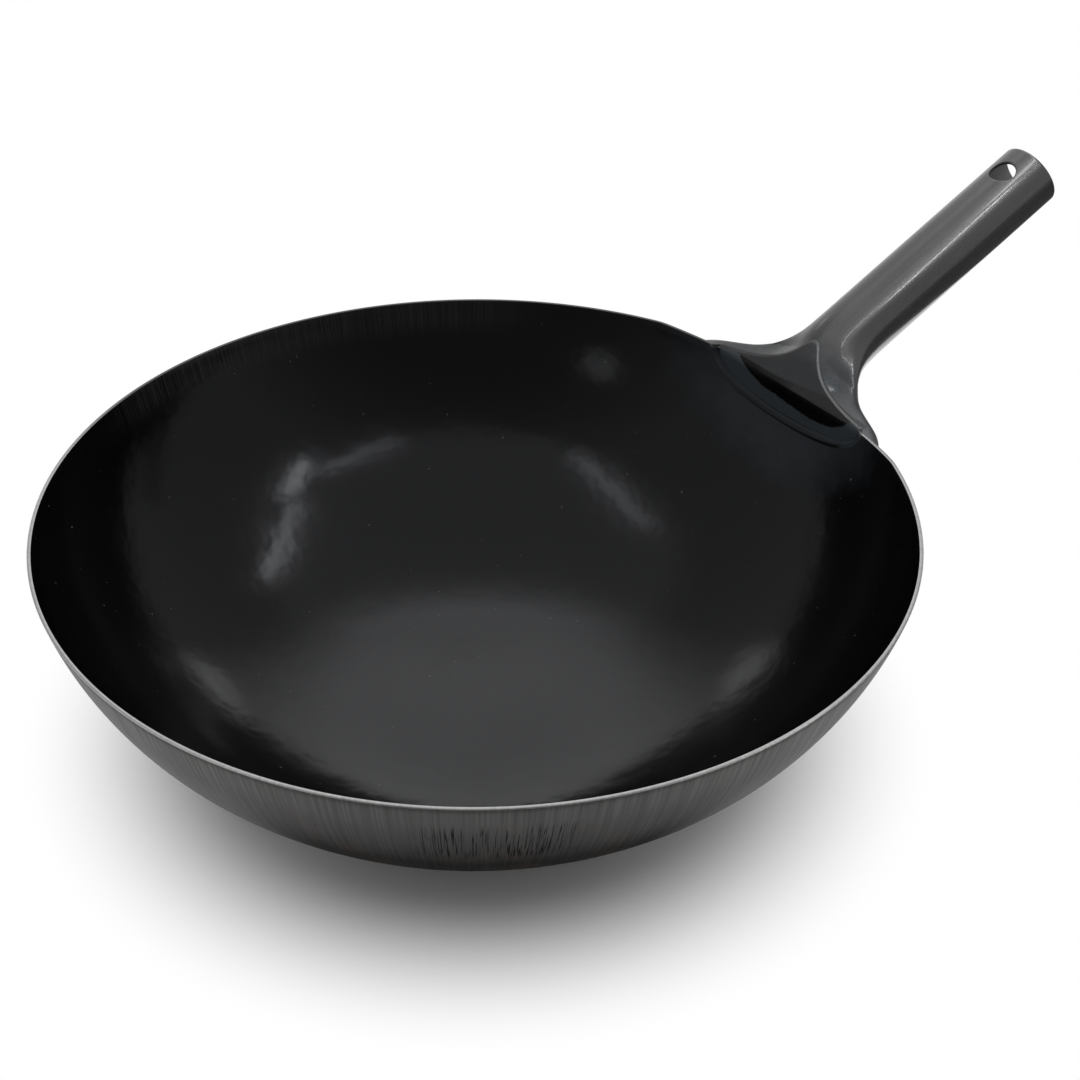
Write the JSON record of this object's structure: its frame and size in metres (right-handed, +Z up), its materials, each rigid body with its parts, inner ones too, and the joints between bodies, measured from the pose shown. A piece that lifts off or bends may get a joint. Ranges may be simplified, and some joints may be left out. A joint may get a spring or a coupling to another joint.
{
  "type": "wok",
  "caption": "Deep pressed carbon steel wok with a small flat base and a hollow, rising sheet handle that flares into the rim and ends in a hanging hole.",
  "frame": {"origin": "centre of the flat base, on its underside", "axes": "+Z up, +X from the bowl towards the handle, +Y to the left when looking along +X"},
  "size_m": [0.5048, 0.36, 0.1764],
  "materials": {
    "bowl_steel": "dark lacquered, satin inside and finely brushed outside",
    "handle_steel": "dark lacquered, semi-gloss, blue-grey at the root",
    "weld_steel": "dressed and heat tinted"
  },
  "bodies": {
    "root": {"bowl": "bowl_steel", "handle": "handle_steel", "root_weld": "weld_steel", "wing_weld_left": "weld_steel", "wing_weld_right": "weld_steel"}
  },
  "joints": []
}
